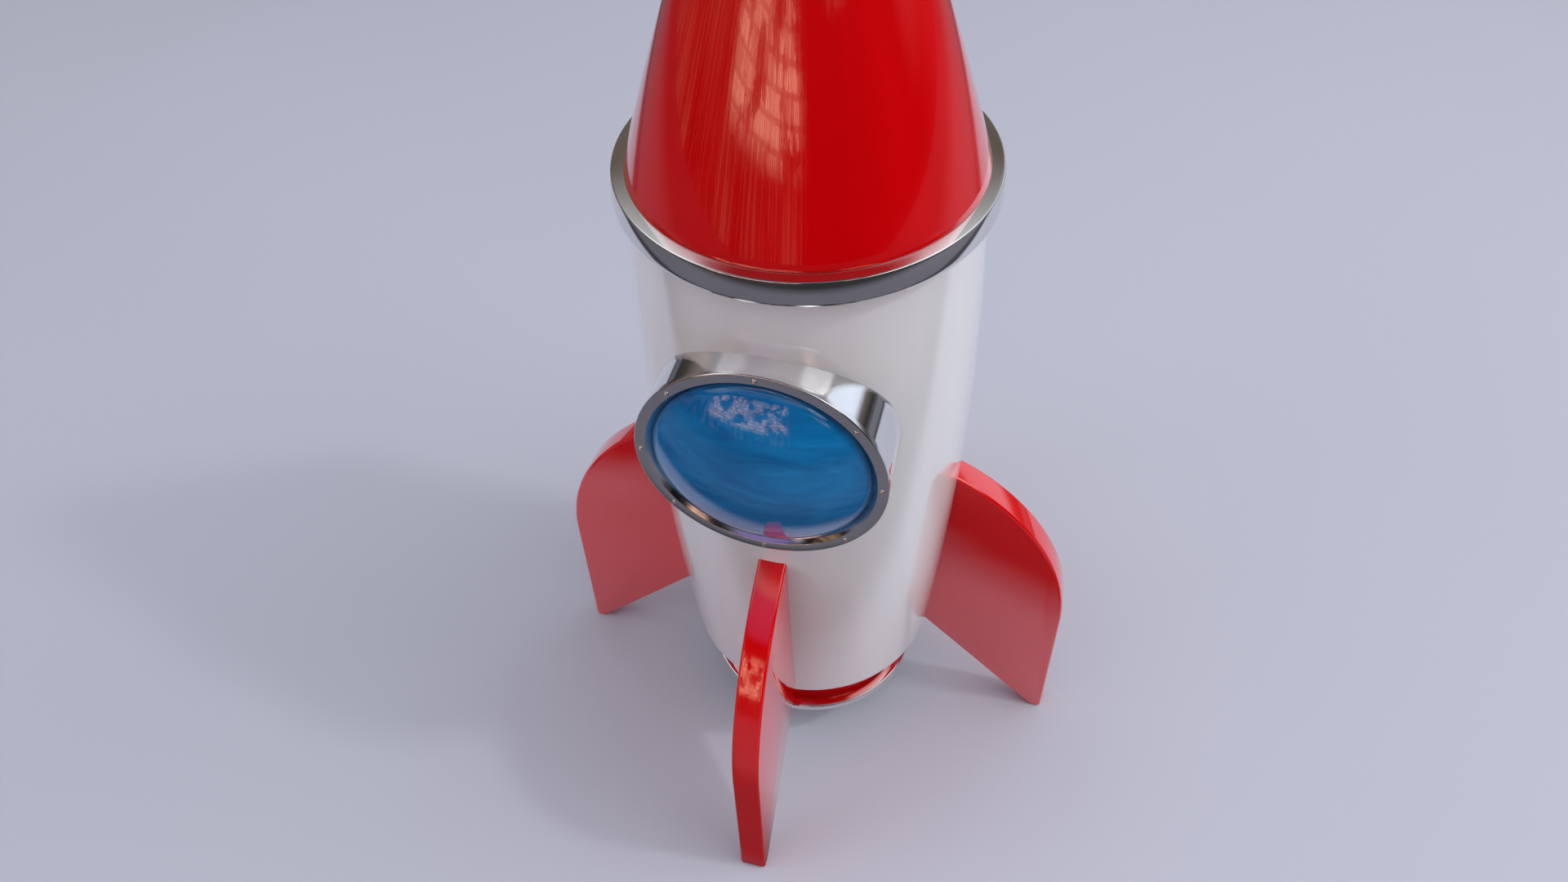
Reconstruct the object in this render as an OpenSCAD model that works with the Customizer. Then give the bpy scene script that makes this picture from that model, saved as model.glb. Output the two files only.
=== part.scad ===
// Tin space rocket. A barrel-shaped tin hull stands on four slab fins. A porthole looks out of the
// front, a chrome collar rings the mouth, and the nose cone lifts off as the lid of a compartment.
// Millimetres, +Z up. The origin is on the rocket's axis at floor level, and the porthole and the
// front fin face -Y.

/* [Hull] */
// Height of the hull's bottom rim above the floor
rim_z = 36.5; // [34:0.5:39]
// Outer radius of the hull at its bottom rim
foot_r = 36.8; // [36.6:0.1:38]
// Outer radius of the hull at its widest
belly_r = 42; // [41.6:0.1:42.4]
// Height of the widest point
belly_z = 136; // [130:1:142]
// Outer radius of the hull at its mouth
mouth_r = 39.4; // [39.2:0.1:39.8]
// Thickness of the tin sheet
sheet = 0.8; // [0.6:0.1:0.9]

/* [Collar] */
// Height of the collar's flat top
collar_z = 202; // [199:0.5:205]
// Outer radius of the collar
collar_r = 43; // [42.5:0.1:45]
// Height of the collar's band
collar_h = 7; // [5:0.5:9]

/* [Nose cone] */
// Height of the tip above the floor
nose_top = 300; // [288:1:312]
// Outer radius of the cone at its base
nose_r = 39.8; // [39.6:0.1:40.4]
// Inward lean of the cone's side at its base, as run over rise
nose_lean = 0.307; // [0.29:0.005:0.33]
// Radius of the rounded tip
tip_r = 5; // [4:0.5:6]

/* [Porthole] */
// Height of the porthole's centre
port_z = 150.5; // [148:0.5:153]
// Outer radius of the porthole tube
port_r = 29; // [28.6:0.1:29.2]
// Distance of the bezel's face from the rocket's axis
port_y = 47.3; // [46.5:0.1:50]
// Outer radius of the bezel
bezel_r = 29.5; // [29.4:0.1:31]
// Radius of the circle of bezel screws
screw_circle = 28; // [27.9:0.1:28.2]
// Height of the lens dome in front of the bezel's face
lens_bulge = 9; // [6:0.5:11]

/* [Fins] */
// Thickness of a fin
fin_t = 7.5; // [6:0.5:9]
// Radius of the foot's outer edge
fin_reach = 78; // [74:1:84]
// Radius of the rounded shoulder
shoulder_r = 65.4; // [62:0.2:68]
// Height where the shoulder begins
shoulder_z = 49.3; // [46:0.1:52]

/* [Tail] */
// Outer radius of the red tail neck
neck_r = 29.8; // [28:0.1:31]
// Height of the neck's lower end
base_z = 16; // [14:0.5:18]
// Outer radius of the chrome base ring
base_ring_r = 32.6; // [32.2:0.1:34]
// Height of the base ring
base_ring_h = 3.2; // [2.4:0.2:5]

/* [Inside] */
// Height of the compartment's floor
floor_z = 96; // [94:0.5:98]
// Radius of the tie rod
rod_r = 2; // [1.5:0.1:2.5]

/* [Hidden] */
$fn = 96;

RED = [0.72, 0.02, 0.02];
WHITE = [0.86, 0.86, 0.86];
CHROME = [0.75, 0.75, 0.77];
STEEL = [0.5, 0.49, 0.49];
TIN = [0.66, 0.66, 0.64];
BLUE = [0.05, 0.3, 0.55];
RUBBER = [0.08, 0.08, 0.08];

fit = 0.05;                 // gap between pressed or stacked pieces
lid_gap = 0.3;              // gap round the lifting nose
nose_z = collar_z + lid_gap;
shell_top = collar_z - sheet - fit;
sleeve_r = mouth_r - sheet - fit;
pan_r = sleeve_r - 1 - lid_gap;
pan_h = 12;
bezel_t = 1.6;
lens_r = 26.1;
lens_t = 1.6;
lens_sphere = (lens_r * lens_r + lens_bulge * lens_bulge) / (2 * lens_bulge);
seat_r = 26.7;
tube_bore = 26.8;
tube_end = 23.3;            // depth of the tube's inner end behind the bezel's face
screw_angles = [90, 39, 0, -45, -90, -141, 180, 135];
fin_angles = [-90, 0, 90, 180];
fin_screw_z = [54, 78];
fin_screw_r = 1.5;
strip_t = 1.2;

// Outer radius of the barrel at height z.
function hull_r(z) = z < belly_z
    ? belly_r - (belly_r - foot_r) * pow((belly_z - z) / (belly_z - rim_z), 1.9)
    : belly_r - (belly_r - mouth_r) * pow((z - belly_z) / (collar_z - belly_z), 2);

// Barrel outline from z0 to z1, set in by d.
function barrel(z0, z1, d, n = 15) = [for (i = [0:n]) let (z = z0 + (z1 - z0) * i / n) [hull_r(z) - d, z]];

// Outer radius of the nose cone at height h over its base: a slightly bowed cone with a ball tip.
nose_h = nose_top - nose_z;
apex_h = nose_h + 1.42 * tip_r;
nose_bow = (nose_r - nose_lean * apex_h) / (apex_h * apex_h);
function cone_r(h) = nose_r - nose_lean * h - nose_bow * h * h;
function ball_r(h) = sqrt(max(0, tip_r * tip_r - pow(max(0, h - nose_h + tip_r), 2)));
function tip_in(h) = h > nose_h - tip_r ? min(cone_r(h), ball_r(h)) : cone_r(h);

// Corner arc of radius r about [x, y].
function corner(x, y, r, a0, a1, n = 6) = [for (i = [0:n])
    let (a = a0 + (a1 - a0) * i / n) [x + r * cos(a), y + r * sin(a)]];

function reverse(p) = [for (i = [len(p) - 1:-1:0]) p[i]];

// Turns a profile of radius and distance in front of the bezel's face into the porthole's place.
module port_turn() {
    translate([0, -port_y, port_z]) rotate([90, 0, 0]) rotate_extrude() children();
}

module at_screws() {
    for (a = screw_angles)
        translate([screw_circle * cos(a), -port_y, port_z + screw_circle * sin(a)])
            rotate([90, 0, 0]) children();
}

module radial(a, z) {
    rotate([0, 0, a]) translate([0, 0, z]) rotate([0, 90, 0]) children();
}

module ring(r0, r1, h) {
    difference() {
        cylinder(r = r1, h = h);
        translate([0, 0, -1]) cylinder(r = r0, h = h + 2);
    }
}

// Lid: red tin cone, hollow, with a rolled base edge.
module nose_cone() {
    steps = 22;
    outer = [for (i = [0:steps]) let (h = 0.9 + (nose_h - tip_r - 0.9) * i / steps) [cone_r(h), nose_z + h]];
    tip = [for (i = [1:8]) let (h = nose_h - tip_r + tip_r * sin(90 * i / 8)) [tip_in(h), nose_z + h]];
    inner = [for (i = [0:steps]) let (h = (nose_h - 3 * tip_r) * i / steps) [cone_r(h) - sheet * 1.1, nose_z + h]];
    color(RED) rotate_extrude()
        polygon(concat([[nose_r - sheet * 1.1, nose_z], [nose_r - 0.7, nose_z]], outer, tip,
            [[0, nose_z + nose_h - 2 * tip_r]], reverse(inner)));
}

// Plug under the nose: a shallow pan that drops into the mouth and closes the cone.
module nose_pan() {
    color(TIN) rotate_extrude() polygon([[0, nose_z - pan_h], [pan_r - 1, nose_z - pan_h],
        [pan_r, nose_z - pan_h + 1], [pan_r, nose_z], [nose_r - 1.3, nose_z],
        [nose_r - 1.3, nose_z + sheet], [pan_r - sheet, nose_z + sheet],
        [pan_r - sheet, nose_z - pan_h + 1.4], [pan_r - 1.4, nose_z - pan_h + sheet],
        [0, nose_z - pan_h + sheet]]);
}

// Chrome ring round the hull's mouth, with a lip that covers the shell's edge.
module collar_ring() {
    bore = mouth_r + 0.45;
    color(CHROME) rotate_extrude() polygon(concat(
        [[bore, shell_top + fit], [bore, collar_z - collar_h]],
        corner(collar_r - 2.2, collar_z - collar_h + 2.2, 2.2, -90, 0),
        corner(collar_r - 0.8, collar_z - 0.8, 0.8, 0, 90),
        [[sleeve_r - 1, collar_z], [sleeve_r - 1, shell_top + fit]]));
}

// Inner sleeve of the mouth, which guides the pan.
module mouth_ring() {
    h = pan_h + 2;
    color(TIN) translate([0, 0, shell_top - h]) ring(sleeve_r - 1, sleeve_r, h);
}

// White tin barrel, cut for the porthole tube and drilled for the fin screws.
module body_shell() {
    color(WHITE) difference() {
        rotate_extrude() polygon(concat(barrel(rim_z, shell_top, 0), reverse(barrel(rim_z, shell_top, sheet))));
        translate([0, -10, port_z]) rotate([90, 0, 0]) cylinder(r = port_r + fit, h = 50);
        for (a = fin_angles, z = fin_screw_z) radial(a, z) cylinder(r = fin_screw_r + fit, h = 50);
    }
}

// Chrome tube that stands out of the hull and runs on inside it.
module porthole_tube() {
    color(CHROME) difference() {
        port_turn() translate([tube_bore, -tube_end]) square([port_r - tube_bore, tube_end - bezel_t]);
        at_screws() translate([0, 0, -5]) cylinder(r = 0.45, h = 5);
    }
}

// Tin cap pressed over the tube's inner end.
module porthole_back_cap() {
    color(TIN) port_turn() union() {
        translate([0, -tube_end - sheet]) square([port_r + fit + sheet, sheet]);
        translate([port_r + fit, -tube_end - sheet]) square([sheet, 4 + sheet]);
    }
}

// Blue printed disc with a turned-back skirt, seen through the lens.
module lens_backing() {
    color(BLUE) port_turn() union() {
        translate([0, -7.8]) square([seat_r, 0.8]);
        translate([seat_r - sheet, -15]) square([sheet, 8]);
    }
}

module lens_seat() {
    color(TIN) port_turn() translate([24.4, -7]) square([seat_r - 24.4, 3]);
}

module lens_gasket() {
    color(RUBBER) port_turn() translate([24.4, -4]) square([seat_r - 24.4, 1]);
}

// Domed lens with a flat rim held behind the bezel.
module porthole_lens() {
    color(BLUE) port_turn() union() {
        difference() {
            intersection() {
                translate([0, lens_bulge - lens_sphere]) circle(r = lens_sphere);
                translate([0, -3]) square([lens_r, lens_bulge + 4]);
            }
            translate([0, lens_bulge - lens_sphere]) circle(r = lens_sphere - lens_t);
            translate([-1, -4]) square([25.2, 3.4]);
        }
        translate([24.2, -3]) square([lens_r - 24.2, 2.4]);
        translate([24.2, -3]) square([26.6 - 24.2, 1.4 - fit]);
    }
}

// Flat steel flange that holds the lens, with a turned outer rim.
module bezel_ring() {
    color(STEEL) difference() {
        port_turn() polygon([[lens_r + 0.1, -bezel_t], [bezel_r, -bezel_t], [bezel_r, -0.3],
            [bezel_r - 0.3, 0], [lens_r + 0.4, 0], [lens_r + 0.1, -0.3]]);
        at_screws() translate([0, 0, -3]) cylinder(r = 0.45, h = 4);
    }
}

module bezel_screws() {
    color(CHROME) at_screws() rotate_extrude() polygon([[0, -4.5], [0.4, -4.5], [0.4, 0], [0.65, 0],
        [0.6, 0.22], [0.4, 0.4], [0.15, 0.46], [0, 0.46]]);
}

// Side view of a fin: rounded shoulder, nearly upright edge, small foot and slanted underside.
module fin_outline() {
    cx = fin_reach - 1.2 - shoulder_r;
    difference() {
        polygon([[30, fin_reach - 32.7], [fin_reach - 2.6, 0], [fin_reach - 0.8, 0], [fin_reach, 1.2],
            [cx + shoulder_r, shoulder_z], [cx + shoulder_r, shoulder_z + 70], [30, shoulder_z + 70]]);
        difference() {
            translate([20, shoulder_z]) square([80, 80]);
            translate([cx, shoulder_z]) circle(r = shoulder_r);
        }
    }
}

module fin(a) {
    color(RED) difference() {
        rotate([0, 0, a]) rotate([90, 0, 0]) linear_extrude(height = fin_t, center = true) fin_outline();
        rotate_extrude() polygon(concat([[0, rim_z]], barrel(rim_z, 118, -fit, 9), [[0, 118]]));
        for (z = fin_screw_z) radial(a, z) cylinder(r = fin_screw_r + fit, h = hull_r(z) + 12);
    }
}

module fin_front() { fin(fin_angles[0]); }
module fin_right() { fin(fin_angles[1]); }
module fin_rear() { fin(fin_angles[2]); }
module fin_left() { fin(fin_angles[3]); }

// Curved backing strip inside the hull, clamped by a fin's two screws.
module fin_strip(a) {
    color(TIN) difference() {
        intersection() {
            rotate_extrude() polygon(concat(barrel(46, 86, sheet + fit, 4),
                reverse(barrel(46, 86, sheet + fit + strip_t, 4))));
            rotate([0, 0, a]) translate([20, -5, 40]) cube([30, 10, 60]);
        }
        for (z = fin_screw_z) radial(a, z) cylinder(r = fin_screw_r + fit, h = 50);
    }
}

module fin_strip_front() { fin_strip(fin_angles[0]); }
module fin_strip_right() { fin_strip(fin_angles[1]); }
module fin_strip_rear() { fin_strip(fin_angles[2]); }
module fin_strip_left() { fin_strip(fin_angles[3]); }

module fin_screws() {
    color(STEEL) for (a = fin_angles, z = fin_screw_z) {
        seat = hull_r(z) - sheet - strip_t - 0.4;
        radial(a, z) translate([0, 0, seat]) union() {
            cylinder(r = fin_screw_r, h = 13);
            translate([0, 0, -2]) cylinder(r = 2.8, h = 2);
        }
    }
}

// Red tail: a neck below the hull with a flange and an upstand pressed into the hull.
module tail_cup() {
    flange_z = rim_z + 0.5;
    cup_r = foot_r - sheet - 0.1;
    color(RED) rotate_extrude() polygon([[neck_r - sheet, base_z], [neck_r, base_z], [neck_r, flange_z],
        [cup_r, flange_z], [cup_r, flange_z + 7], [cup_r - sheet, flange_z + 7],
        [cup_r - sheet, flange_z + sheet], [neck_r - sheet, flange_z + sheet]]);
}

module base_ring() {
    bore = neck_r + fit;
    color(CHROME) rotate_extrude() polygon(concat([[bore, base_z + base_ring_h], [bore, base_z]],
        corner(base_ring_r - 1.2, base_z + 1.2, 1.2, -90, 0),
        corner(base_ring_r - 0.6, base_z + base_ring_h - 0.6, 0.6, 0, 90)));
}

module base_plate() {
    color(TIN) translate([0, 0, base_z - sheet]) ring(rod_r + 0.1, base_ring_r - 1.4, sheet);
}

// Disc wedged in the barrel's taper, with a turned-down skirt: the bottom of the compartment.
module compartment_floor() {
    r = hull_r(floor_z - 6) - sheet - 0.2;
    color(TIN) rotate_extrude() polygon([[rod_r + 0.1, floor_z - sheet], [r - sheet, floor_z - sheet],
        [r - sheet, floor_z - 6], [r, floor_z - 6], [r, floor_z], [rod_r + 0.1, floor_z]]);
}

module spacer_tube() {
    color(TIN) translate([0, 0, base_z]) ring(rod_r + 0.2, rod_r + 1.2, floor_z - sheet - base_z);
}

module tie_rod() {
    color(STEEL) translate([0, 0, base_z - 5.8]) cylinder(r = rod_r, h = floor_z - base_z + 11.3);
}

module tie_rod_nuts() {
    color(STEEL) for (z = [base_z - 2 * sheet - 3.2, floor_z + sheet])
        translate([0, 0, z]) difference() {
            cylinder(r = 2 * rod_r + 0.04, h = 3.2, $fn = 6);
            translate([0, 0, -1]) cylinder(r = rod_r + fit, h = 6);
        }
}

module tie_rod_washers() {
    color(STEEL) for (z = [base_z - 2 * sheet, floor_z])
        translate([0, 0, z]) ring(rod_r + 0.1, 2 * rod_r + 0.6, sheet);
}

nose_cone();
nose_pan();
collar_ring();
mouth_ring();
body_shell();
porthole_tube();
porthole_back_cap();
lens_backing();
lens_seat();
lens_gasket();
porthole_lens();
bezel_ring();
bezel_screws();
fin_front();
fin_right();
fin_rear();
fin_left();
fin_strip_front();
fin_strip_right();
fin_strip_rear();
fin_strip_left();
fin_screws();
tail_cup();
base_ring();
base_plate();
compartment_floor();
spacer_tube();
tie_rod();
tie_rod_nuts();
tie_rod_washers();
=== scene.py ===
"""Tin space rocket: visual model, materials, camera and studio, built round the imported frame."""
import math
from collections import namedtuple
import bmesh
import bpy
from mathutils import Matrix, Vector


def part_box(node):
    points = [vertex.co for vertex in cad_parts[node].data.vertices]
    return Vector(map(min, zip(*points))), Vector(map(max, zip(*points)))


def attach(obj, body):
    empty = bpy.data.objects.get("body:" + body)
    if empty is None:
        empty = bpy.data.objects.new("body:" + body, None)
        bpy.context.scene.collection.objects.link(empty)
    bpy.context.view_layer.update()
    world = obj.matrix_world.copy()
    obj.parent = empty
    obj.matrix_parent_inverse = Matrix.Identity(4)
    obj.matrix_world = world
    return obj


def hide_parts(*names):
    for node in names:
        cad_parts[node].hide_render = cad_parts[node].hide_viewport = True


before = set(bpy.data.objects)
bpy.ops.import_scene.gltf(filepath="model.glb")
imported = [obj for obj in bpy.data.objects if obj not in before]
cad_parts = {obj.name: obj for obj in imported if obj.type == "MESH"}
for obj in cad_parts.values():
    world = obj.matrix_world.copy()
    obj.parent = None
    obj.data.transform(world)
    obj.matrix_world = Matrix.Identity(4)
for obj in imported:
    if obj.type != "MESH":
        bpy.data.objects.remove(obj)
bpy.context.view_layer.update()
MM = 0.001

# ---------------------------------------------------------------- places and sizes from the frame
Block = namedtuple("Block", "centre half low high")


def block_of(node):
    """Centre, half size, lowest and highest corner of a CAD node."""
    low, high = (Vector(corner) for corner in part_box(node))
    return Block((low + high) / 2, (high - low) / 2, low, high)


BEZEL = block_of("bezel_ring")
TUBE = block_of("porthole_tube")
LENS = block_of("porthole_lens")
SHELL = block_of("body_shell")
COLLAR = block_of("collar_ring")
CONE = block_of("nose_cone")
CUP = block_of("tail_cup")
BASE = block_of("base_ring")
FIN = block_of("fin_right")

PORT_Z = BEZEL.centre.z            # height of the porthole's centre
PORT_Y = BEZEL.low.y               # the flange's front face
RIM_Z = SHELL.low.z                # the hull's bottom rim
COLLAR_Z = COLLAR.high.z           # the collar's flat top
BELLY_R = SHELL.half.x             # the hull's radius at its widest
BELLY_Z = 136 * MM                 # height of the hull's widest point
FOOT_R = 36.8 * MM                 # the hull's radius at its bottom rim
MOUTH_R = 39.4 * MM                # the hull's radius at the collar's top
LOWER_CURVE = 1.9                  # powers of the hull's curve below and above its widest point
UPPER_CURVE = 2
SHEET = 0.8 * MM                   # thickness of the tin


def hull_r(z):
    """Outer radius of the barrel at height z."""
    if z < BELLY_Z:
        return BELLY_R - (BELLY_R - FOOT_R) * ((BELLY_Z - z) / (BELLY_Z - RIM_Z)) ** LOWER_CURVE
    return BELLY_R - (BELLY_R - MOUTH_R) * ((z - BELLY_Z) / (COLLAR_Z - BELLY_Z)) ** UPPER_CURVE


def hull_slope(z):
    """Change of the barrel's radius with height, at height z."""
    step = 0.2 * MM
    z = max(z, RIM_Z + step)
    return (hull_r(z + step) - hull_r(z - step)) / (2 * step)


# ---------------------------------------------------------------- outline and mesh tools
ON_AXIS = 1e-7                     # a smaller radius counts as a point on the axis
FINE = 256                         # steps round the large turned pieces
FINE_PORT = 224                    # steps round the porthole's pieces


def evenly(start, end, steps):
    """Values from start to end in equal steps, both ends included."""
    return [start + (end - start) * i / steps for i in range(steps + 1)]


def arc(x, y, r, start, end, steps):
    """Points of an arc about (x, y), between two angles in degrees."""
    angles = [math.radians(a) for a in evenly(start, end, steps)]
    return [(x + r * math.cos(a), y + r * math.sin(a)) for a in angles]


def line(start, end, steps):
    """Points of a straight line, without its start."""
    return list(zip(evenly(start[0], end[0], steps), evenly(start[1], end[1], steps)))[1:]


def finish_mesh(name, bm, sharp=35):
    """Makes a smooth-shaded object, with edges sharp above an angle in degrees."""
    bmesh.ops.recalc_face_normals(bm, faces=bm.faces)
    mesh = bpy.data.meshes.new(name)
    bm.to_mesh(mesh)
    bm.free()
    mesh.polygons.foreach_set("use_smooth", [True] * len(mesh.polygons))
    mesh.set_sharp_from_angle(angle=math.radians(sharp))
    obj = bpy.data.objects.new(name, mesh)
    bpy.context.scene.collection.objects.link(obj)
    return obj


def turned(bm, profile, place, steps=192):
    """Adds the solid that a closed profile of (radius, height) sweeps, placed by place(r, a, h)."""
    rings = []
    for r, h in profile:
        if r < ON_AXIS:
            rings.append([bm.verts.new(place(0, 0, h))])
        else:
            rings.append([bm.verts.new(place(r, 2 * math.pi * i / steps, h)) for i in range(steps)])
    for k, low in enumerate(rings):
        high = rings[(k + 1) % len(rings)]
        if len(low) == 1 and len(high) == 1:
            continue
        for i in range(steps):
            j = (i + 1) % steps
            if len(low) == 1:
                bm.faces.new((low[0], high[j], high[i]))
            elif len(high) == 1:
                bm.faces.new((low[i], low[j], high[0]))
            else:
                bm.faces.new((low[i], low[j], high[j], high[i]))


def upright(r, a, h):
    """Places a turned point about the rocket's axis."""
    return Vector((r * math.cos(a), r * math.sin(a), h))


def forward(r, a, h):
    """Places a turned point about the porthole's axis, h in front of the flange's face."""
    return Vector((r * math.cos(a), PORT_Y - h, PORT_Z + r * math.sin(a)))


def turned_piece(name, profile, place=upright, steps=192, sharp=35):
    """Makes an object from one turned profile."""
    bm = bmesh.new()
    turned(bm, profile, place, steps)
    return finish_mesh(name, bm, sharp)


# ---------------------------------------------------------------- nose
NOSE_R = 39.8 * MM                 # radius of the cone's base
NOSE_LEAN = 0.307                  # inward lean of the side at the base, as run over rise
TIP_R = 5 * MM                     # radius of the rounded tip
NOSE_H = CONE.high.z - CONE.low.z
APEX_H = NOSE_H + 1.42 * TIP_R     # height at which the side's curve would reach the axis


def nose_side(h):
    """Outer radius of the cone at height h above its base."""
    bow = (NOSE_R - NOSE_LEAN * APEX_H) / (APEX_H * APEX_H)
    return NOSE_R - NOSE_LEAN * h - bow * h * h


def nose_tip(join, steps=12):
    """Outline of the tip, from the height where it leaves the side up to the axis."""
    fullness = 0.96
    points = []
    for a in evenly(0, math.pi / 2, steps)[1:-1]:
        r = nose_side(join) * math.cos(a) ** fullness
        points.append((r, CONE.low.z + join + (NOSE_H - join) * math.sin(a)))
    return points + [(0, CONE.low.z + NOSE_H)]


def make_nose():
    """Hollow cone with a bowed side, a rounded tip and a rounded base edge."""
    hem = 0.12 * MM
    low = COLLAR_Z + 0.01 * MM
    side_start = 0.3 * MM
    join = NOSE_H - 0.62 * TIP_R
    inner_top = NOSE_H - 3.2 * TIP_R
    profile = [(NOSE_R - SHEET, low), (NOSE_R - hem, low)]
    profile += arc(NOSE_R - hem, low + hem, hem, -80, 12, 6)
    profile += [(nose_side(h), CONE.low.z + h) for h in evenly(side_start, join, 60)]
    profile += nose_tip(join)
    profile.append((0, CONE.low.z + inner_top + TIP_R))
    profile += [(nose_side(h) - SHEET, CONE.low.z + h) for h in evenly(inner_top, 0, 24)]
    return turned_piece("nose_cone_skin", profile, steps=FINE, sharp=50)


# ---------------------------------------------------------------- hull and collar
def make_collar():
    """Chrome band with a rounded foot, a slight bulge, a flat top and a lip over the hull's edge."""
    r = COLLAR.half.x + 0.15 * MM
    low = COLLAR.low.z
    bore = MOUTH_R + 0.45 * MM
    lip = MOUTH_R - 1.85 * MM
    chamfer = 0.3 * MM
    foot = 2.2 * MM
    belly = low + 2.4 * MM
    edge = 0.35 * MM
    bulge = 18 * MM
    lean = math.asin((COLLAR_Z - edge - belly) / (bulge - edge))
    crown_r = r - bulge + (bulge - edge) * math.cos(lean)
    profile = [(bore, low + chamfer), (bore + chamfer, low)]
    profile += arc(r - foot, low + foot, foot, -90, -8, 14)
    profile += arc(r - bulge, belly, bulge, 0, math.degrees(lean), 12)
    profile += arc(crown_r, COLLAR_Z - edge, edge, math.degrees(lean), 90, 9)[1:]
    profile += [(lip + chamfer, COLLAR_Z), (lip, COLLAR_Z - chamfer)]
    profile += [(lip, COLLAR_Z - SHEET), (bore, COLLAR_Z - SHEET)]
    return turned_piece("collar_band", profile, steps=FINE, sharp=40)


def shell_profile():
    """Outline of the barrel's sheet, with a rounded fold at its bottom rim."""
    fold = SHEET / 2
    heights = evenly(RIM_Z + fold, SHELL.high.z, 64)
    profile = [(hull_r(z), z) for z in heights]
    profile += [(hull_r(z) - SHEET, z) for z in reversed(heights)]
    profile += arc(FOOT_R - fold, RIM_Z + fold, fold, 180, 360, 8)[1:-1]
    return profile


def cut_porthole(shell):
    """Cuts the hole for the porthole tube through the shell's front."""
    hole_r = TUBE.half.x - 0.15 * MM
    far = -20 * MM
    near = 10 * MM
    plug = [(0, far), (hole_r, far), (hole_r, near), (0, near)]
    cutter = turned_piece("porthole_cutter", plug, forward, steps=160)
    cut = shell.modifiers.new("porthole", "BOOLEAN")
    cut.operation = "DIFFERENCE"
    cut.solver = "EXACT"
    cut.object = cutter
    bpy.context.view_layer.update()
    graph = bpy.context.evaluated_depsgraph_get()
    baked = bpy.data.meshes.new_from_object(shell.evaluated_get(graph))
    shell.modifiers.clear()
    shell.data = baked
    bpy.data.objects.remove(cutter)


def set_hull_normals(mesh):
    """Gives both skins of the barrel their true normals, so that the hole leaves no marks in the shine."""
    near = 0.06 * MM
    square_on = 0.9
    normals = []
    for face in mesh.polygons:
        for loop in face.loop_indices:
            p = mesh.vertices[mesh.loops[loop].vertex_index].co
            r = math.hypot(p.x, p.y)
            true_normal = Vector((p.x / r, p.y / r, -hull_slope(p.z))).normalized()
            facing = face.normal.dot(true_normal)
            depth = hull_r(max(p.z, RIM_Z)) - r
            if abs(depth) < near and facing > square_on:
                normals.append(true_normal)
            elif abs(depth - SHEET) < near and facing < -square_on:
                normals.append(-true_normal)
            else:
                normals.append(face.normal)
    mesh.normals_split_custom_set(normals)


def make_shell():
    """Barrel with a folded bottom rim, cut for the porthole tube."""
    shell = turned_piece("hull_skin", shell_profile(), steps=FINE)
    cut_porthole(shell)
    set_hull_normals(shell.data)
    return shell


# ---------------------------------------------------------------- porthole
def make_tube():
    """Chrome porthole tube: its inner end is softened, and its outer end is square behind the flange."""
    front = PORT_Y - TUBE.low.y
    back = PORT_Y - TUBE.high.y
    r = TUBE.half.x
    bore = r - 2.2 * MM
    soft = 0.3 * MM
    profile = [(bore, front), (bore, back), (r - soft, back)]
    profile += arc(r - soft, back + soft, soft, -90, 0, 3)
    middle = (back + front) / 2    # a ring here keeps the shading of the straight side even
    profile += [(r, middle), (r, front)]
    return turned_piece("porthole_sleeve", profile, forward, steps=FINE_PORT)


def make_bezel():
    """Steel flange: a flat face with a rounded outer edge and a bright inner slope down to the lens."""
    r_out = BEZEL.half.x
    r_in = LENS.half.x - 0.9 * MM
    back = -1.6 * MM
    chamfer = 0.2 * MM
    chamfer_h = 0.25 * MM
    bead = 0.3 * MM
    edge = 0.2 * MM
    slope = 50
    drop = 1.45 * MM
    lip_r = r_in + drop / math.tan(math.radians(slope)) + edge * math.tan(math.radians(slope / 2))
    profile = [(r_in, back), (r_out - chamfer, back), (r_out, back + chamfer_h)]
    profile += arc(r_out - bead, -bead, bead, 0, 90, 6)
    profile += arc(lip_r, -edge, edge, 90, 90 + slope, 4)
    profile.append((r_in, -drop))
    return turned_piece("bezel_flange", profile, forward, steps=FINE_PORT, sharp=30)


def make_lens():
    """Domed lens: a ball cap that bends down at its rim, over a thin flange that the bezel clamps."""
    r_in = LENS.half.x - 1.0 * MM
    rim = 4 * MM
    rim_h = -2.5 * MM
    bulge = PORT_Y - LENS.low.y - 0.6 * MM
    seat = -1.65 * MM
    underside = -3 * MM
    flange_w = 2.4 * MM
    wall = 1.6 * MM
    drop = rim_h - bulge
    ball = ((r_in - rim) ** 2 + drop * drop - rim * rim) / (-2 * (rim + drop))
    centre = bulge - ball
    tangent = math.asin((r_in - rim) / (ball - rim))
    seat_angle = math.degrees(math.asin((seat - rim_h) / rim))
    inner = ball - wall
    inner_r = LENS.half.x - flange_w
    inner_edge = math.asin(inner_r / inner)
    profile = [(0, bulge)]
    profile += [(ball * math.sin(a), centre + ball * math.cos(a)) for a in evenly(0, tangent, 40)[1:]]
    profile += arc(r_in - rim, rim_h, rim, 90 - math.degrees(tangent), seat_angle, 14)[1:]
    profile += [(LENS.half.x, seat), (LENS.half.x, underside), (inner_r, underside)]
    profile += [(inner * math.sin(a), centre + inner * math.cos(a)) for a in evenly(inner_edge, 0, 20)[:-1]]
    profile.append((0, centre + inner))
    return turned_piece("lens_dome", profile, forward, steps=FINE_PORT)


SCREW_CIRCLE = 28 * MM
HEAD_R = 0.65 * MM
SHANK_R = 0.38 * MM
# Each screw's place round the flange, and the turn of its slot, in degrees
SCREWS = ((90, 10), (39, 80), (0, 140), (-45, 35), (-90, 100), (-141, 60), (180, 155), (135, 120))


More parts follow.
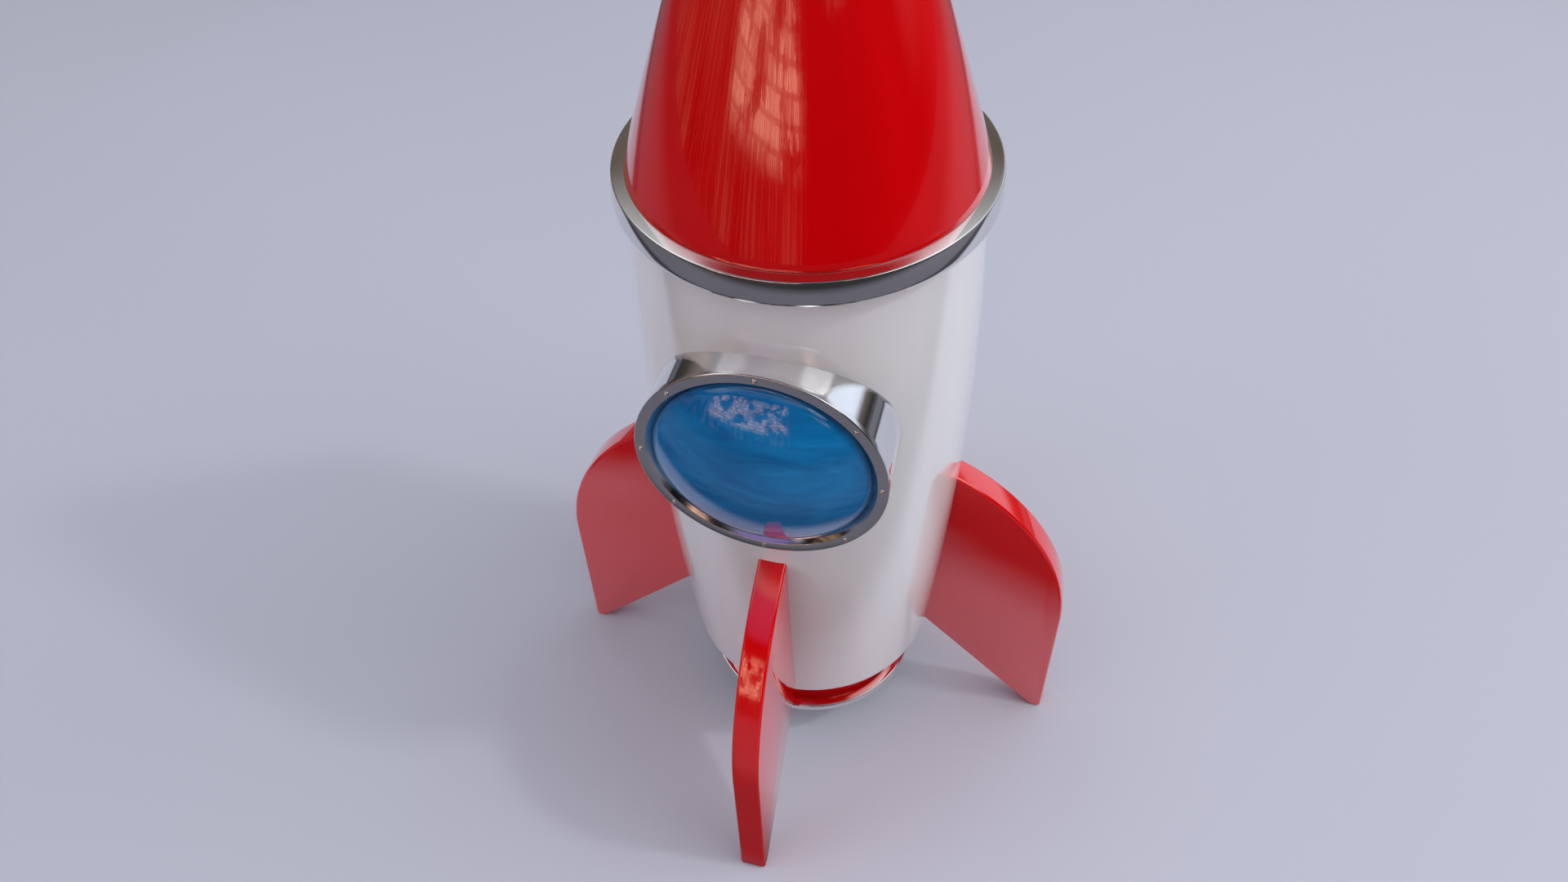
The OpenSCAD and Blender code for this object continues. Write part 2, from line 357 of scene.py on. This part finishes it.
def screw_profile():
    """Outline of a domed screw head on a plain shank."""
    tip = -4.4 * MM
    seat = -0.2 * MM
    brim = 0.02 * MM
    dome = 0.42 * MM
    profile = [(0, tip), (SHANK_R, tip), (SHANK_R, seat), (HEAD_R, seat)]
    profile += [(HEAD_R * math.cos(a), brim + dome * math.sin(a)) for a in evenly(0, math.pi / 2, 7)[:-1]]
    profile.append((0, brim + dome))
    return profile


def make_screws():
    """Eight domed screw heads, each with a fine slot, on plain shanks."""
    slot_from = 0.2 * MM
    slot_half = 0.09 * MM
    slot_depth = 0.14 * MM
    bm = bmesh.new()
    for spot, slot in SCREWS:
        x0 = SCREW_CIRCLE * math.cos(math.radians(spot))
        z0 = PORT_Z + SCREW_CIRCLE * math.sin(math.radians(spot))
        t = math.radians(slot)

        def place(r, a, h):
            x = r * math.cos(a)
            z = r * math.sin(a)
            across = -x * math.sin(t) + z * math.cos(t)
            if h > slot_from and abs(across) < slot_half:
                h -= slot_depth
            return Vector((x0 + x, PORT_Y - h, z0 + z))

        turned(bm, screw_profile(), place, steps=36)
    return finish_mesh("bezel_screw_heads", bm, sharp=60)


# ---------------------------------------------------------------- fins
FIN_REACH = 78 * MM                # the foot's outer edge
SHOULDER_R = 65.4 * MM             # radius of the rounded shoulder
SHOULDER_Z = 49.3 * MM             # height where the shoulder begins
FIN_DRAFT = 0.8 * MM               # how far the outer edge leans out below the shoulder
FOOT_W = 2.6 * MM                  # width of the foot that stands on the floor
TOE_R = 1.2 * MM                   # roundings at the foot's outer and inner edges
HEEL_R = 0.9 * MM
HEEL_TURN = 45                     # the lower edge's rise from the foot to the root, in degrees
ROOT_BITE = 0.4 * MM               # how far the root lies inside the hull's outer skin
SETTLING = 12                      # rounds in which a root's height settles on the curved hull


def fin_outline():
    """The fin's free edge, from the root's top round to its low end, and the root's points between."""
    centre = FIN_REACH - FIN_DRAFT - SHOULDER_R
    foot_x = FIN_REACH - FOOT_W
    root_top = FIN.high.z
    root_low = 40 * MM
    for _ in range(SETTLING):
        root_top = SHOULDER_Z + math.sqrt(SHOULDER_R ** 2 - (hull_r(root_top) - ROOT_BITE - centre) ** 2)
        root_low = foot_x - hull_r(root_low) + ROOT_BITE
    start = math.degrees(math.atan2(root_top - SHOULDER_Z, hull_r(root_top) - ROOT_BITE - centre))
    path = arc(centre, SHOULDER_Z, SHOULDER_R, start, 0, 56)
    path += line(path[-1], (FIN_REACH, TOE_R), 8)[:-1]
    path += arc(FIN_REACH - TOE_R, TOE_R, TOE_R, 0, -90, 6)
    heel_x = foot_x - HEEL_R * math.tan(math.radians(HEEL_TURN / 2))
    path += arc(heel_x, HEEL_R, HEEL_R, -90, -90 - HEEL_TURN, 4)
    path += line(path[-1], (hull_r(root_low) - ROOT_BITE, root_low), 24)
    root = [(hull_r(z) - ROOT_BITE, z) for z in evenly(root_low, root_top, 20)[1:-1]]
    return path, root


def inward_normals(path):
    """The inward direction at each point of a path that runs clockwise."""
    last = len(path) - 1
    normals = []
    for i in range(len(path)):
        ahead = Vector(path[min(i + 1, last)]) - Vector(path[max(i - 1, 0)])
        normals.append(Vector((ahead.y, -ahead.x)).normalized())
    return normals


def make_fin(name, angle):
    """Slab fin, turned to its heading in degrees, with rounded edges except at its root."""
    soft = 0.85 * MM
    path, root = fin_outline()
    outline = path + root
    inward = inward_normals(path) + [Vector((0, 0))] * len(root)
    turn = Matrix.Rotation(math.radians(angle), 3, "Z")
    bends = evenly(0, math.pi / 2, 5)
    bm = bmesh.new()
    layers = []
    for sign, a in [(-1, a) for a in reversed(bends)] + [(1, a) for a in bends]:
        y = sign * (FIN.half.y - soft + soft * math.sin(a))
        inset = soft * (1 - math.cos(a))
        points = [(x + n.x * inset, y, z + n.y * inset) for (x, z), n in zip(outline, inward)]
        layers.append([bm.verts.new(turn @ Vector(point)) for point in points])
    for low, high in zip(layers, layers[1:]):
        for i in range(len(outline)):
            j = (i + 1) % len(outline)
            bm.faces.new((low[i], low[j], high[j], high[i]))
    bm.faces.new(layers[0])
    bm.faces.new(layers[-1][::-1])
    return finish_mesh(name, bm, sharp=32)


# ---------------------------------------------------------------- tail
def make_tail():
    """Red neck with a flange under the hull's rim and an upstand inside the hull."""
    neck = BASE.half.x - 2.8 * MM
    flange = RIM_Z + 0.5 * MM
    cup_r = CUP.half.x
    low_chamfer = 0.2 * MM
    flange_chamfer = 0.3 * MM
    sweep = 1.2 * MM
    profile = [(neck - SHEET, CUP.low.z), (neck - low_chamfer, CUP.low.z), (neck, CUP.low.z + low_chamfer)]
    profile += arc(neck + sweep, flange - sweep, sweep, 180, 90, 6)
    profile += [(cup_r - flange_chamfer, flange), (cup_r, flange + flange_chamfer), (cup_r, CUP.high.z)]
    profile += [(cup_r - SHEET, CUP.high.z), (cup_r - SHEET, flange + SHEET), (neck - SHEET, flange + SHEET)]
    return turned_piece("tail_neck", profile, sharp=45)


def make_base_ring():
    """Chrome ring with a flat top and a rounded outer edge."""
    r = BASE.half.x
    width = 2.75 * MM
    foot = 1.2 * MM
    shoulder = 0.6 * MM
    profile = [(r - width, BASE.high.z), (r - width, BASE.low.z)]
    profile += arc(r - foot, BASE.low.z + foot, foot, -90, 0, 10)
    profile += arc(r - shoulder, BASE.high.z - shoulder, shoulder, 0, 90, 8)
    return turned_piece("base_band", profile, sharp=45)


# ---------------------------------------------------------------- node tools
def put(tree, socket, value):
    """Links an output to a socket, or sets the socket to a plain value."""
    if isinstance(value, bpy.types.NodeSocket):
        tree.links.new(value, socket)
    else:
        socket.default_value = value


def math_node(tree, kind, *values):
    """A math node's result, from links or plain numbers."""
    node = tree.nodes.new("ShaderNodeMath")
    node.operation = kind
    for socket, value in zip(node.inputs, values):
        put(tree, socket, value)
    return node.outputs[0]


def vector_node(tree, kind, *values):
    """A vector math node, fed by links or plain vectors."""
    node = tree.nodes.new("ShaderNodeVectorMath")
    node.operation = kind
    for socket, value in zip(node.inputs, values):
        put(tree, socket, value)
    return node


def scaled(tree, vector, amount):
    """A vector or colour times an amount."""
    node = vector_node(tree, "SCALE", vector)
    put(tree, node.inputs["Scale"], amount)
    return node.outputs[0]


def added(tree, first, second):
    """The sum of two vectors or colours."""
    return vector_node(tree, "ADD", first, second).outputs[0]


def split_vector(tree, vector):
    """The X, Y and Z outputs of a vector."""
    node = tree.nodes.new("ShaderNodeSeparateXYZ")
    put(tree, node.inputs[0], vector)
    return node.outputs


def combined(tree, x=0.0, y=0.0, z=0.0):
    """A vector from three links or plain numbers."""
    node = tree.nodes.new("ShaderNodeCombineXYZ")
    for socket, value in zip(node.inputs, (x, y, z)):
        put(tree, socket, value)
    return node.outputs[0]


def plain_coords(tree):
    """The object's own coordinates, in metres."""
    return tree.nodes.new("ShaderNodeTexCoord").outputs["Object"]


def round_coords(tree, about="rocket", around=9.0, along=1.0):
    """Coordinates for marks that run round or along a turned surface, with no join in them."""
    axes = split_vector(tree, plain_coords(tree))
    if about == "rocket":
        across, run = axes["Y"], axes["Z"]
    else:
        across, run = math_node(tree, "SUBTRACT", axes["Z"], PORT_Z), axes["Y"]
    outward = vector_node(tree, "NORMALIZE", combined(tree, axes["X"], across)).outputs[0]
    lift = math_node(tree, "MULTIPLY", run, along)
    return added(tree, scaled(tree, outward, around), combined(tree, z=lift))


def noise(tree, coords, scale, detail=4.0, rough=0.5, distort=0.0):
    """A noise value over the given coordinates."""
    node = tree.nodes.new("ShaderNodeTexNoise")
    node.inputs["Scale"].default_value = scale
    node.inputs["Detail"].default_value = detail
    node.inputs["Roughness"].default_value = rough
    node.inputs["Distortion"].default_value = distort
    tree.links.new(coords, node.inputs["Vector"])
    return node.outputs["Fac"]


def spread(tree, value, low, high, start=0.3, end=0.7):
    """Maps a value between start and end onto a range from low to high."""
    node = tree.nodes.new("ShaderNodeMapRange")
    node.inputs["From Min"].default_value = start
    node.inputs["From Max"].default_value = end
    node.inputs["To Min"].default_value = low
    node.inputs["To Max"].default_value = high
    tree.links.new(value, node.inputs["Value"])
    return node.outputs["Result"]


def ramp(tree, value, stops):
    """Colours a value by stops of (position, colour), in rising order."""
    node = tree.nodes.new("ShaderNodeValToRGB")
    elements = node.color_ramp.elements
    for element, (position, color) in zip(elements, (stops[0], stops[-1])):
        element.position = position
        element.color = (*color, 1)
    for position, color in stops[1:-1]:
        elements.new(position).color = (*color, 1)
    tree.links.new(value, node.inputs["Fac"])
    return node.outputs["Color"]


def two_tone(tree, value, dark, light, start=0.3, end=0.7):
    """Blends two colours by a value."""
    return ramp(tree, value, ((start, dark), (end, light)))


def bumps(tree, layers):
    """Chains bump nodes, one for each (height, strength, distance)."""
    last = None
    for height, strength, distance in layers:
        node = tree.nodes.new("ShaderNodeBump")
        node.inputs["Strength"].default_value = strength
        node.inputs["Distance"].default_value = distance
        tree.links.new(height, node.inputs["Height"])
        if last:
            tree.links.new(last, node.inputs["Normal"])
        last = node.outputs["Normal"]
    return last


# ---------------------------------------------------------------- materials
def new_material(name, **sockets):
    """A material, its node tree and its shader, with plain values set on the shader's sockets."""
    mat = bpy.data.materials.new(name)
    mat.use_nodes = True
    bsdf = mat.node_tree.nodes["Principled BSDF"]
    for key, value in sockets.items():
        bsdf.inputs[key.replace("_", " ")].default_value = value
    return mat, mat.node_tree, bsdf


def enamel(name, dark, light, streak, around=14.0, gloss=(0.05, 0.16), rocket=True, coat=1.0,
           blur=0.03):
    """Glossy enamel on tin: slight colour drift, drawn streaks down the sheet and a clear top coat."""
    mat, tree, bsdf = new_material(name, Metallic=0.0, IOR=1.5, Specular_IOR_Level=0.75, Coat_Weight=coat,
                                   Coat_Roughness=blur, Coat_IOR=1.6)
    if rocket:
        marks = noise(tree, round_coords(tree, around=around, along=6.0), scale=6.0, detail=5.0, rough=0.6)
        broad = noise(tree, round_coords(tree, around=2.2, along=9.0), scale=1.6, detail=3.0)
    else:
        marks = noise(tree, plain_coords(tree), scale=120.0, rough=0.6)
        broad = noise(tree, plain_coords(tree), scale=24.0, detail=3.0)
    peel = noise(tree, plain_coords(tree), scale=420.0, detail=2.0)
    relief = bumps(tree, [(marks, streak, 0.6 * MM), (peel, 0.02, 0.2 * MM)])
    tree.links.new(two_tone(tree, broad, dark, light, start=0.25, end=0.75), bsdf.inputs["Base Color"])
    tree.links.new(spread(tree, marks, *gloss), bsdf.inputs["Roughness"])
    tree.links.new(relief, bsdf.inputs["Normal"])
    return mat


SMEAR_SHADE = 0.9                  # how bright a smear is, beside clean metal


def plated(name, color, gloss, around=3.0, along=900.0, about="rocket", bump=0.01):
    """Plated or turned metal: fine turning lines and faint smears in the polish."""
    mat, tree, bsdf = new_material(name, Metallic=1.0)
    lines = noise(tree, round_coords(tree, about, around, along), scale=1.0, detail=3.0, rough=0.7)
    smear = noise(tree, plain_coords(tree), scale=60.0, rough=0.6)
    dark = tuple(SMEAR_SHADE * c for c in color)
    smudged = spread(tree, smear, low=0.85, high=1.2)
    polish = spread(tree, lines, *gloss)
    tree.links.new(two_tone(tree, smear, dark, color), bsdf.inputs["Base Color"])
    tree.links.new(math_node(tree, "MULTIPLY", smudged, polish), bsdf.inputs["Roughness"])
    tree.links.new(bumps(tree, [(lines, bump, 0.2 * MM)]), bsdf.inputs["Normal"])
    return mat


def blue_dome():
    """Deep blue moulded dome: cloudy lighter swirls and fine scuffs under a hard gloss."""
    mat, tree, bsdf = new_material("lens_blue", IOR=1.5, Coat_Weight=0.75, Coat_Roughness=0.01)
    stretch = tree.nodes.new("ShaderNodeMapping")
    stretch.inputs["Scale"].default_value = (0.45, 1.0, 1.6)
    stretch.inputs["Rotation"].default_value = (0.0, 0.25, 0.0)
    tree.links.new(plain_coords(tree), stretch.inputs["Vector"])
    swirl = noise(tree, stretch.outputs["Vector"], scale=75.0, detail=7.0, rough=0.62, distort=1.2)
    scuff = noise(tree, plain_coords(tree), scale=300.0, detail=6.0, rough=0.7)
    cloudy = two_tone(tree, swirl, (0.003, 0.095, 0.28), (0.008, 0.21, 0.50))
    relief = bumps(tree, [(swirl, 0.015, 0.6 * MM), (scuff, 0.008, 0.2 * MM)])
    tree.links.new(cloudy, bsdf.inputs["Base Color"])
    tree.links.new(spread(tree, scuff, low=0.03, high=0.1), bsdf.inputs["Roughness"])
    tree.links.new(relief, bsdf.inputs["Normal"])
    return mat


RED = enamel("red_enamel", (0.60, 0.0004, 0.002), (0.68, 0.0006, 0.003), 0.05,
             gloss=(0.02, 0.07), blur=0.01)
RED_FIN = enamel("red_enamel_fin", (0.66, 0.0004, 0.002), (0.74, 0.0006, 0.003), 0.03,
                 rocket=False, gloss=(0.06, 0.14), blur=0.04)
# The nose's red paint with painted light: a much lighter copy that stands in for the light the shaded neck
# under the hull's rim misses.
RED_NECK_PAINTED_LIGHT = enamel("red_enamel_neck_painted_light", (0.90, 0.001, 0.003), (0.97, 0.0015, 0.004), 0.05,
                  gloss=(0.02, 0.07), blur=0.01)
WHITE = enamel("white_enamel", (0.73, 0.73, 0.735), (0.79, 0.79, 0.79), 0.03,
               around=22.0, gloss=(0.05, 0.14), blur=0.012)
CHROME = plated("chrome_band", (0.86, 0.85, 0.85), (0.025, 0.06))
SLEEVE = plated("chrome_sleeve", (0.88, 0.88, 0.89), (0.04, 0.09), about="porthole")
STEEL = plated("bezel_steel", (0.86, 0.85, 0.86), (0.08, 0.18), around=1.5, along=400.0, about="porthole")
SCREW = plated("screw_steel", (0.95, 0.94, 0.93), (0.05, 0.12), bump=0.005)
TIN = plated("bare_tin", (0.56, 0.56, 0.54), (0.22, 0.42), around=7.0, along=260.0, bump=0.03)
BLUE = blue_dome()
PRINT = enamel("blue_print", (0.004, 0.07, 0.2), (0.008, 0.11, 0.28), 0.02, rocket=False)
RUBBER = enamel("gasket_black", (0.015, 0.015, 0.016), (0.03, 0.03, 0.032), 0.1,
                rocket=False, gloss=(0.5, 0.7), coat=0.0)


# ---------------------------------------------------------------- assembly
def dress(obj, mat):
    """Gives an object one material."""
    obj.data.materials.clear()
    obj.data.materials.append(mat)


def add(piece, mat, slot, body, *nodes):
    """Dresses a piece, and lets it stand for its CAD nodes on their body."""
    dress(piece, mat)
    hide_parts(*nodes)
    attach(piece, body)


add(make_nose(), RED, "red_paint", "nose", "nose_cone")
add(make_collar(), CHROME, "chrome_trim", "rocket", "collar_ring")
add(make_shell(), WHITE, "white_paint", "rocket", "body_shell")
add(make_tube(), SLEEVE, "chrome_trim", "rocket", "porthole_tube")
add(make_bezel(), STEEL, "bezel_steel", "rocket", "bezel_ring")
add(make_lens(), BLUE, "blue_lens", "rocket", "porthole_lens")
add(make_screws(), SCREW, "screw_steel", "rocket", "bezel_screws")
for side, heading in (("right", 0), ("rear", 90), ("left", 180), ("front", -90)):
    add(make_fin("fin_slab_" + side, heading), RED_FIN, "red_paint", "rocket", "fin_" + side)
# The neck gets the lighter copy of the red paint: painted light for its shade under the rim.
add(make_tail(), RED_NECK_PAINTED_LIGHT, "red_paint", "rocket", "tail_cup")
add(make_base_ring(), CHROME, "chrome_trim", "rocket", "base_ring")

# CAD nodes that keep their shape and get a finished material
KEPT = ((TIN, ("nose_pan", "mouth_ring", "porthole_back_cap", "lens_seat", "fin_strip_front",
               "fin_strip_right", "fin_strip_rear", "fin_strip_left", "base_plate",
               "compartment_floor", "spacer_tube")),
        (PRINT, ("lens_backing",)),
        (RUBBER, ("lens_gasket",)),
        (SCREW, ("fin_screws", "tie_rod", "tie_rod_nuts", "tie_rod_washers")))
for finish, names in KEPT:
    for node_name in names:
        dress(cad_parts[node_name], finish)


# ---------------------------------------------------------------- floor
FLOOR_HALF = 12                    # half the floor's width, in metres
SHEET_R = 1.6                      # radius of the sheet that reflections see
FLOOR_DARK = (0.50, 0.515, 0.605)
FLOOR_LIGHT = (0.515, 0.53, 0.62)


def floor_color(tree):
    """Pale blue-grey with a slight broad drift."""
    drift = noise(tree, plain_coords(tree), scale=3.0, detail=2.0)
    return two_tone(tree, drift, FLOOR_DARK, FLOOR_LIGHT)


def make_floor():
    """The pale studio floor."""
    bm = bmesh.new()
    bmesh.ops.create_grid(bm, x_segments=8, y_segments=8, size=FLOOR_HALF)
    floor = finish_mesh("studio_floor", bm)
    mat, tree, bsdf = new_material("studio_floor", Roughness=0.7, Specular_IOR_Level=0.2)
    tree.links.new(floor_color(tree), bsdf.inputs["Base Color"])
    dress(floor, mat)
    floor.visible_glossy = False


def painted_sheet_light(tree):
    """Painted light: a painted pool of white light near the rocket, then a painted dark ring and a dim
    ground that fades out.
    """
    reach_shown = 3.0
    oval = tree.nodes.new("ShaderNodeMapping")
    oval.vector_type = "TEXTURE"
    oval.inputs["Location"].default_value = (-0.04, 0.26, 0)
    oval.inputs["Rotation"].default_value = (0, 0, math.radians(15))
    oval.inputs["Scale"].default_value = (0.45, 0.34, 1)
    tree.links.new(plain_coords(tree), oval.inputs["Vector"])
    reach = vector_node(tree, "LENGTH", oval.outputs["Vector"]).outputs["Value"]
    # Painted light and shade: white pool near the rocket, then a painted dark ring, dim ground and dark
    # beyond.
    stops = [(0.31, (1, 1, 1))]
    for place, level in ((0.335, 0.08), (0.365, 0.1), (0.395, 0.28), (0.62, 0.27)):
        stops.append((place, (level, level * 0.96, level * 0.97)))
    stops.append((0.85, (0.05, 0.05, 0.05)))
    return ramp(tree, math_node(tree, "DIVIDE", reach, reach_shown), stops)


def make_sheet():
    """What polished surfaces see of the floor: a painted pool of light, a pale oval with darker ground
    painted beyond it.
    """
    clear_of_floor = 0.2 * MM
    bm = bmesh.new()
    bmesh.ops.create_circle(bm, cap_ends=True, segments=96, radius=SHEET_R)
    bmesh.ops.translate(bm, vec=Vector((0, 0, clear_of_floor)), verts=bm.verts)
    sheet = finish_mesh("studio_sheet", bm)
    mat, tree, bsdf = new_material("studio_sheet", Roughness=0.7, Specular_IOR_Level=0.2)
    mix = tree.nodes.new("ShaderNodeMixRGB")
    mix.blend_type = "MULTIPLY"
    mix.inputs["Fac"].default_value = 1.0
    tree.links.new(floor_color(tree), mix.inputs["Color1"])
    tree.links.new(painted_sheet_light(tree), mix.inputs["Color2"])
    tree.links.new(mix.outputs["Color"], bsdf.inputs["Base Color"])
    dress(sheet, mat)
    sheet.visible_camera = False
    sheet.visible_diffuse = False
    sheet.visible_shadow = False


# ---------------------------------------------------------------- room
WALL_DARK = (0.03, 0.03, 0.035)
# The walls' colour by height, in degrees above the horizon
WALL_BANDS = ((-90, WALL_DARK), (-9, WALL_DARK), (0, (0.06, 0.047, 0.04)), (13, (0.19, 0.165, 0.16)),
              (34, (0.13, 0.105, 0.085)), (46, (0.95, 0.97, 1.02)), (57, (1.0, 1.02, 1.07)),
              (62, (0.3, 0.3, 0.32)), (67, (0.05, 0.05, 0.055)), (90, WALL_DARK))
DARKEST_WALL = 0.08                # share of the walls' light left where they are fully shaded
SOFFIT_SHADE = 0.55                # share of the light that the ceiling in front loses
BACKDROP = (0.44, 0.455, 0.545, 1)


def directions(tree):
    """Heading (0 towards -Y, 90 towards +X) and height of every direction, in degrees."""
    axes = split_vector(tree, tree.nodes.new("ShaderNodeTexCoord").outputs["Generated"])
    toward = math_node(tree, "MULTIPLY", axes["Y"], -1.0)
    turn = math_node(tree, "DEGREES", math_node(tree, "ARCTAN2", axes["X"], toward))
    rise = math_node(tree, "DEGREES", math_node(tree, "ARCSINE", axes["Z"]))
    return turn, rise


def window(tree, value, low, high, soft):
    """1 between low and high degrees, fading to 0 over soft degrees outside."""
    fade_in = spread(tree, value, 0, 1, low - soft, low)
    fade_out = spread(tree, value, 1, 0, high, high + soft)
    return math_node(tree, "MULTIPLY", fade_in, fade_out)


def wall_bands(tree, rise):
    """The walls' colour at each height."""
    stops = [((degrees + 90) / 180, color) for degrees, color in WALL_BANDS]
    return ramp(tree, spread(tree, rise, 0, 1, -90, 90), stops)


def window_panes(tree, turn, rise):
    """Rows of panes, lit in patches."""
    where = combined(tree, turn, rise)
    facade = tree.nodes.new("ShaderNodeTexBrick")
    facade.offset = 0.0
    for socket, value in (("Scale", 1.0), ("Mortar Size", 0.3), ("Mortar Smooth", 0.2), ("Bias", -0.1),
                          ("Brick Width", 1.3), ("Row Height", 2.2)):
        facade.inputs[socket].default_value = value
    for socket, level in (("Color1", 1), ("Color2", 0.1), ("Mortar", 0.2)):
        facade.inputs[socket].default_value = (level, level, level, 1)
    tree.links.new(where, facade.inputs["Vector"])
    lit = noise(tree, where, scale=0.13, detail=5.0, rough=0.6)
    patches = spread(tree, lit, low=0, high=1, start=0.46, end=0.5)
    return math_node(tree, "MULTIPLY", facade.outputs["Color"], patches)


def upright_slats(tree, turn, rise):
    """Uneven upright stripes."""
    narrowing = 0.6
    stretching = 0.05
    where = combined(tree, math_node(tree, "MULTIPLY", turn, narrowing),
                     math_node(tree, "MULTIPLY", rise, stretching))
    stripes = noise(tree, where, scale=0.9, detail=6.0, rough=0.7)
    return spread(tree, stripes, low=0, high=1, start=0.48, end=0.6)


def make_world():
    """A dim studio room: dark walls, a bright band high up, and windows in front and to the sides."""
    world = bpy.data.worlds.new("studio_room")
    bpy.context.scene.world = world
    world.use_nodes = True
    tree = world.node_tree
    turn, rise = directions(tree)

    def region(turn_low, turn_high, turn_soft, rise_low, rise_high, rise_soft, marks=1.0):
        """A patch of the room between two headings and two heights, in degrees, times its marks."""
        mask = math_node(tree, "MULTIPLY", window(tree, turn, turn_low, turn_high, turn_soft),
                         window(tree, rise, rise_low, rise_high, rise_soft))
        return math_node(tree, "MULTIPLY", mask, marks)

    panes = window_panes(tree, turn, rise)
    slats = upright_slats(tree, turn, rise)
    low_front = region(-75, 95, 25, -12, 34, 10)
    sky = region(-34, 8, 10, 33, 50, 4)
    soffit = region(-60, 60, 15, 38, 64, 5, SOFFIT_SHADE)
    open_wall = 1.0
    for shade in (low_front, sky, soffit):
        open_wall = math_node(tree, "MULTIPLY", open_wall, math_node(tree, "SUBTRACT", 1.0, shade))
    brightness = spread(tree, open_wall, low=DARKEST_WALL, high=1.0, start=0.0, end=1.0)
    total = scaled(tree, wall_bands(tree, rise), brightness)
    for mask, color in ((sky, (0.17, 0.12, 0.34)),
                        (region(-118, -42, 8, -9, 16, 5, slats), (0.45, 0.26, 0.15)),
                        (region(-38, 8, 3, 3, 20, 3, panes), (4.6, 2.7, 1.85)),
                        (region(-38, 8, 6, -6, 10, 6, slats), (0.45, 0.25, 0.17)),
                        (region(34, 50, 3, 14, 24, 3, panes), (2.4, 1.4, 1.0)),
                        (region(112, 158, 8, 7, 27, 5), (0.6, 0.72, 0.86)),
                        (region(56, 112, 8, 32, 46, 3), (1.3, 1.3, 1.32)),
                        (region(-100, -48, 10, 31, 42, 5), (0.7, 0.72, 0.78)),
                        (region(100, 178, 12, 4, 48, 8), (0.12, 0.11, 0.11))):
        total = added(tree, total, scaled(tree, color, mask))

    backdrop = tree.nodes.new("ShaderNodeMixRGB")
    tree.links.new(tree.nodes.new("ShaderNodeLightPath").outputs["Is Camera Ray"], backdrop.inputs["Fac"])
    tree.links.new(total, backdrop.inputs["Color1"])
    backdrop.inputs["Color2"].default_value = BACKDROP
    tree.links.new(backdrop.outputs["Color"], tree.nodes["Background"].inputs["Color"])


# ---------------------------------------------------------------- lights and camera
AIM = Vector((0, 0, 0.13))         # every lamp points at the rocket's middle
# Name, place in metres, width and height in metres, watts and colour of each lamp
LAMPS = (("overhead", (0.05, -0.2, 1.6), (1.3, 1.3), 8.0, (0.96, 1.0, 1.02)),
         ("key_right", (1.05, 0.03, 1.3), (0.12, 0.12), 4.2, (1.0, 0.995, 0.98)),
         ("low_right", (1.5, 0.1, 0.65), (1.5, 1.1), 9.5, (1.0, 0.995, 0.98)),
         ("low_left", (-1.3, -0.9, 0.6), (1.0, 0.8), 4.4, (0.93, 1.0, 1.06)))


def make_lamp(name, place, size, power, color):
    """A soft rectangular lamp that neither the camera nor a reflection shows."""
    data = bpy.data.lights.new(name, "AREA")
    data.shape = "RECTANGLE"
    data.size, data.size_y = size
    data.energy = power
    data.color = color
    lamp = bpy.data.objects.new(name, data)
    bpy.context.scene.collection.objects.link(lamp)
    lamp.location = Vector(place)
    lamp.rotation_euler = (AIM - lamp.location).to_track_quat("-Z", "Y").to_euler()
    lamp.visible_camera = False
    lamp.visible_glossy = False


def make_camera():
    """Looks down at the rocket by 48 degrees from its right front, with the tip out of frame."""
    round_rocket = 14.1
    yaw, pitch, roll = (math.radians(a) for a in (-1.96, 48.34, -2.16))
    stand = Vector((0, -4.994, 8.138)) * COLLAR.half.x
    ahead = Vector((math.sin(yaw) * math.cos(pitch), math.cos(yaw) * math.cos(pitch), -math.sin(pitch)))
    right = Vector((math.cos(yaw), -math.sin(yaw), 0))
    up = right.cross(ahead)
    across = math.cos(roll) * right + math.sin(roll) * up
    upward = -math.sin(roll) * right + math.cos(roll) * up
    spin = Matrix.Rotation(math.radians(round_rocket), 3, "Z")
    axes = Matrix((spin @ across, spin @ upward, -(spin @ ahead))).transposed()
    data = bpy.data.cameras.new("camera")
    data.sensor_width = 36
    data.lens = 26.84
    camera = bpy.data.objects.new("camera", data)
    bpy.context.scene.collection.objects.link(camera)
    camera.matrix_world = Matrix.Translation(spin @ stand) @ axes.to_4x4()
    bpy.context.scene.camera = camera


make_floor()
make_sheet()
make_world()
for lamp_values in LAMPS:
    make_lamp(*lamp_values)
make_camera()
bpy.context.scene.view_settings.view_transform = "Standard"
